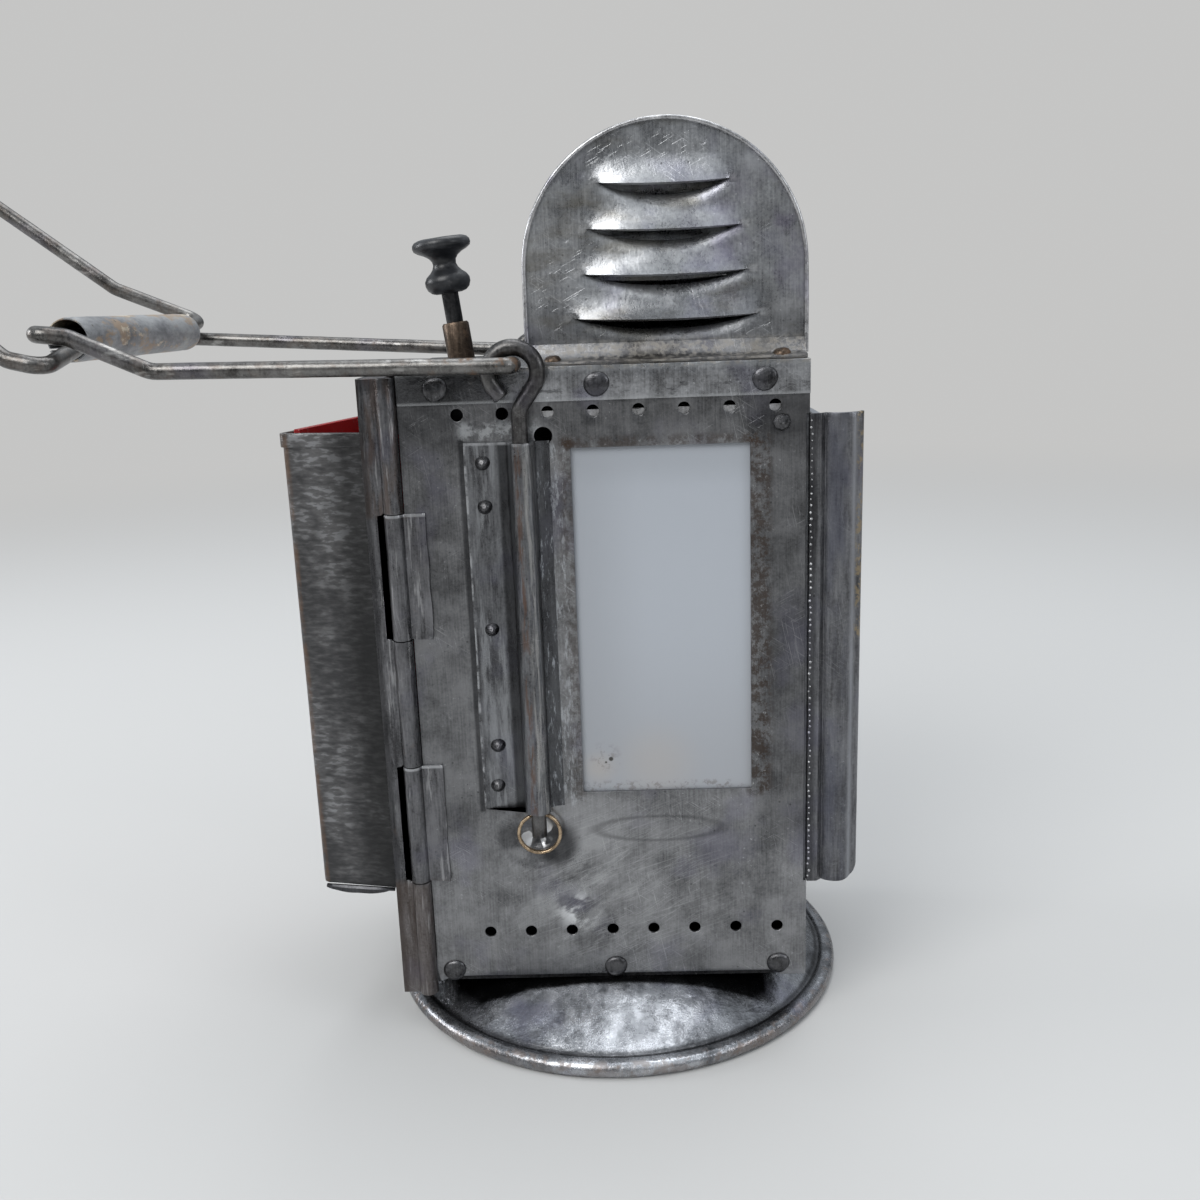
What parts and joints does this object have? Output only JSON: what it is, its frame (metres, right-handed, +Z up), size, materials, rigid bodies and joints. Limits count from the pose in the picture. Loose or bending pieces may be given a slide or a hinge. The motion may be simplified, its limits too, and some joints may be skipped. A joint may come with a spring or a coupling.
{
  "type": "signal lamp",
  "caption": "Upright sheet-metal signal lamp on a round base, with a louvred hood, tall window, side door with glass pocket, keyed shutter and folding wire handles.",
  "frame": {"origin": "Centre of the round base, on the surface it stands on.", "axes": "+Z up, front window faces -Y, hinged side door and folded-out bails at -X."},
  "size_m": [0.3084, 0.145, 0.2792],
  "materials": {
    "base_steel": "dull hammered",
    "sheet_steel": "tarnished and scratched",
    "roof_paint": "worn gloss black",
    "pocket_paint": "wrinkled black",
    "wire_steel": "worn bright with rust",
    "ring_brass": "tarnished",
    "grip_paint": "worn grey and cream",
    "key_steel": "browned",
    "knob_plastic": "gloss black",
    "red_glass": "clear red",
    "opal_glass": "opal white",
    "burner_brass": "satin",
    "wick_cotton": "woven",
    "reflector_silver": "polished"
  },
  "bodies": {
    "lamp": {"base_pan": "base_steel", "rim_wire": "base_steel", "bottom_plate": "base_steel", "front_wall": "sheet_steel", "rear_wall": "sheet_steel", "right_wall": "sheet_steel", "body_floor": "sheet_steel", "front_sleeve": "sheet_steel", "rear_sleeve": "sheet_steel", "hinge_straps": "sheet_steel", "right_wing": "sheet_steel", "foot_rivets": "sheet_steel", "band_rivets": "sheet_steel", "sleeve_rivets": "sheet_steel", "corner_rivet": "sheet_steel", "hood_vault": "sheet_steel", "hood_front_panel": "sheet_steel", "hood_rear_panel": "sheet_steel", "hood_rivets": "sheet_steel", "spring_bracket": "sheet_steel", "shutter_screen": "sheet_steel", "shutter_guides": "sheet_steel", "reflector_strap": "sheet_steel", "font_socket": "sheet_steel", "roof_plate": "roof_paint", "hinge_pin": "wire_steel", "return_spring": "wire_steel", "key_ferrule": "key_steel", "front_pane": "opal_glass", "right_pane": "opal_glass", "oil_font": "burner_brass", "filler_cap": "burner_brass", "burner": "burner_brass", "reflector": "reflector_silver"},
    "side_door": {"door_panel": "sheet_steel", "glass_pocket": "pocket_paint", "pocket_rim": "pocket_paint"},
    "red_slide": {"red_slide": "red_glass"},
    "key": {"key_stem": "key_steel", "key_knob": "knob_plastic", "stem_collars": "key_steel"},
    "shutter": {"shutter_plate": "sheet_steel"},
    "rod_front": {"front_rod": "wire_steel"},
    "rod_rear": {"rear_rod": "wire_steel"},
    "ring_front": {"front_split_ring": "ring_brass"},
    "ring_rear": {"rear_split_ring": "ring_brass"},
    "lower_bail": {"lower_bail": "wire_steel", "hand_grip": "grip_paint"},
    "upper_bail": {"upper_bail": "wire_steel"},
    "wick_wheel": {"wick_wheel": "burner_brass"},
    "wick": {"wick": "wick_cotton"}
  },
  "joints": [
    {"name": "door_hinge", "type": "hinge", "parent": "lamp", "child": "side_door", "pos_m": [-0.0573, -0.0434, 0.1], "axis": [0, 0, 1], "range_deg": [0, 100]},
    {"name": "red_slide_lift", "type": "slide", "parent": "side_door", "child": "red_slide", "axis": [0, 0, 1], "range_m": [0, 0.13]},
    {"name": "key_press", "type": "slide", "parent": "lamp", "child": "key", "axis": [0.1219, 0, -0.9925], "range_m": [0, 0.008], "stiffness_N_per_m": 400, "springref_m": -0.006, "deforming": ["return_spring"]},
    {"name": "shutter_slide", "type": "slide", "parent": "lamp", "child": "shutter", "axis": [0, 0, -1], "range_m": [0, 0.00795]},
    {"name": "rod_front_slide", "type": "slide", "parent": "lamp", "child": "rod_front", "axis": [0, 0, -1], "range_m": [0, 0.0065]},
    {"name": "rod_rear_slide", "type": "slide", "parent": "lamp", "child": "rod_rear", "axis": [0, 0, -1], "range_m": [0, 0.0065]},
    {"name": "ring_front_swing", "type": "hinge", "parent": "rod_front", "child": "ring_front", "pos_m": [-0.0209, -0.0467, 0.07105], "axis": [-1, 0, 0], "range_deg": [-14, 100]},
    {"name": "ring_rear_swing", "type": "hinge", "parent": "rod_rear", "child": "ring_rear", "pos_m": [-0.0209, 0.0467, 0.07105], "axis": [1, 0, 0], "range_deg": [-14, 100]},
    {"name": "lower_bail_pivot", "type": "hinge", "parent": "rod_front", "child": "lower_bail", "pos_m": [-0.02205, 0, 0.19972], "axis": [0, 1, 0], "range_deg": [0, 180]},
    {"name": "upper_bail_pivot", "type": "hinge", "parent": "lower_bail", "child": "upper_bail", "pos_m": [-0.1398, 0, 0.21], "axis": [0, -0.9989, -0.0476], "range_deg": [-70, 15]},
    {"name": "wick_wheel_turn", "type": "hinge", "parent": "lamp", "child": "wick_wheel", "pos_m": [0.017, 0.00748, 0.0709], "axis": [-1, 0, 0], "range_deg": [-125, 150]},
    {"name": "wick_slide", "type": "slide", "parent": "lamp", "child": "wick", "axis": [0, 0, 1], "range_m": [-0.0038, 0.00475]}
  ],
  "couplings": [
    {"joint": "shutter_slide", "follows": "key_press", "ratio": 0.99255},
    {"joint": "rod_rear_slide", "follows": "rod_front_slide", "ratio": 1},
    {"joint": "wick_wheel_turn", "follows": "wick_slide", "rad_per_m": 454.55}
  ]
}
